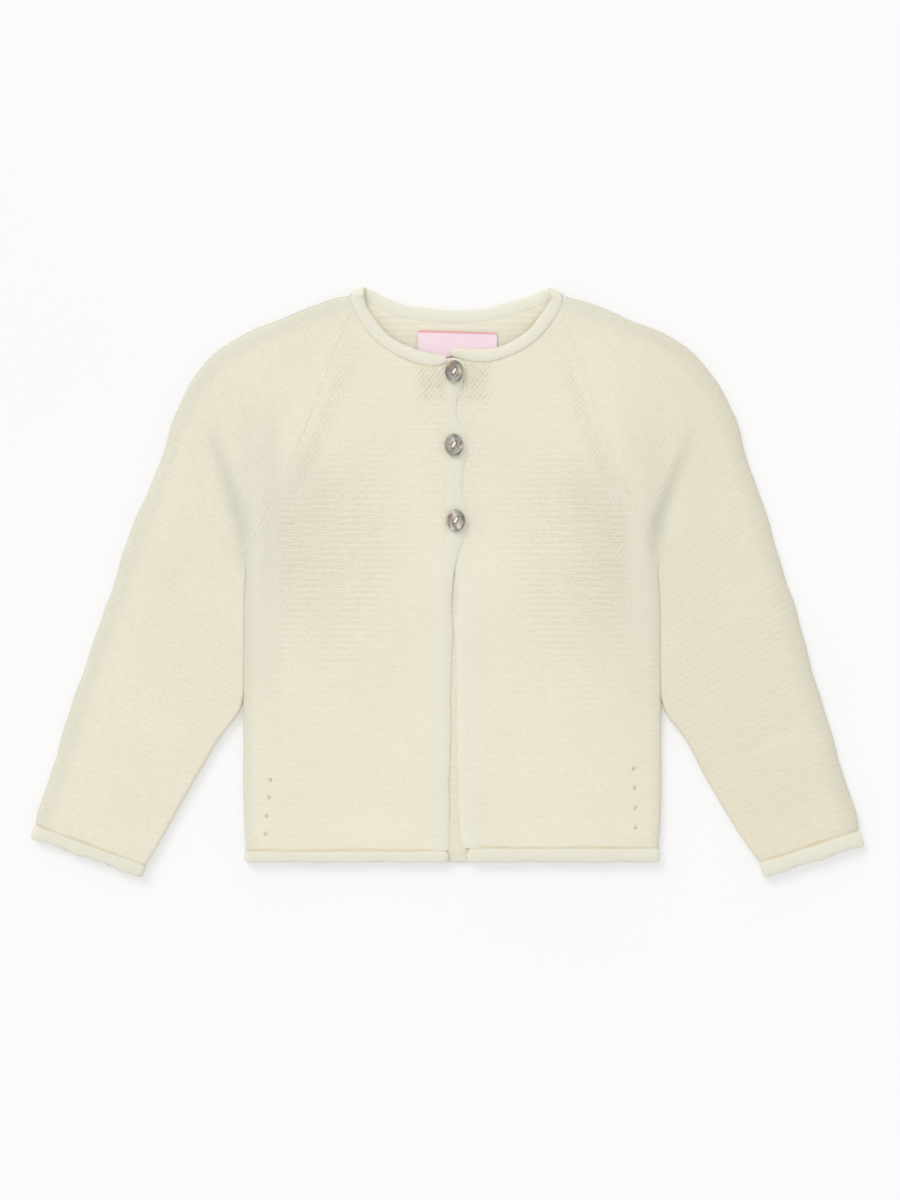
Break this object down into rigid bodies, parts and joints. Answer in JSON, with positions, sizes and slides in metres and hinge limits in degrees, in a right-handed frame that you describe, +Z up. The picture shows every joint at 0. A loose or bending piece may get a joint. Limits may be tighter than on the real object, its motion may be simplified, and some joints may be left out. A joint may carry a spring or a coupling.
{
  "type": "baby cardigan",
  "caption": "Knitted baby cardigan laid flat, with raglan sleeves, rolled neck, hem and cuffs, smooth front bands and a buttoned top.",
  "frame": {"origin": "middle of the outline in plan, on the surface that the cardigan lies on", "axes": "+Z up, out of the fronts; +Y from the hem towards the neck; +X to the right seen from above, which is the wearer's left"},
  "size_m": [0.5014, 0.3538, 0.0106],
  "materials": {
    "garter": "cream garter-stitch knit, matt",
    "smooth": "cream stocking-stitch knit, matt",
    "shell": "grey mother-of-pearl, glossy",
    "label": "pale pink woven tape, no words"
  },
  "bodies": {
    "root": {"back": "garter", "front_right": "garter", "front_left": "garter", "sleeve_right": "garter", "sleeve_left": "garter", "neck_roll": "smooth", "band_right": "smooth", "band_left": "smooth", "button_1": "shell", "button_2": "shell", "button_3": "shell", "label": "label"}
  },
  "joints": []
}
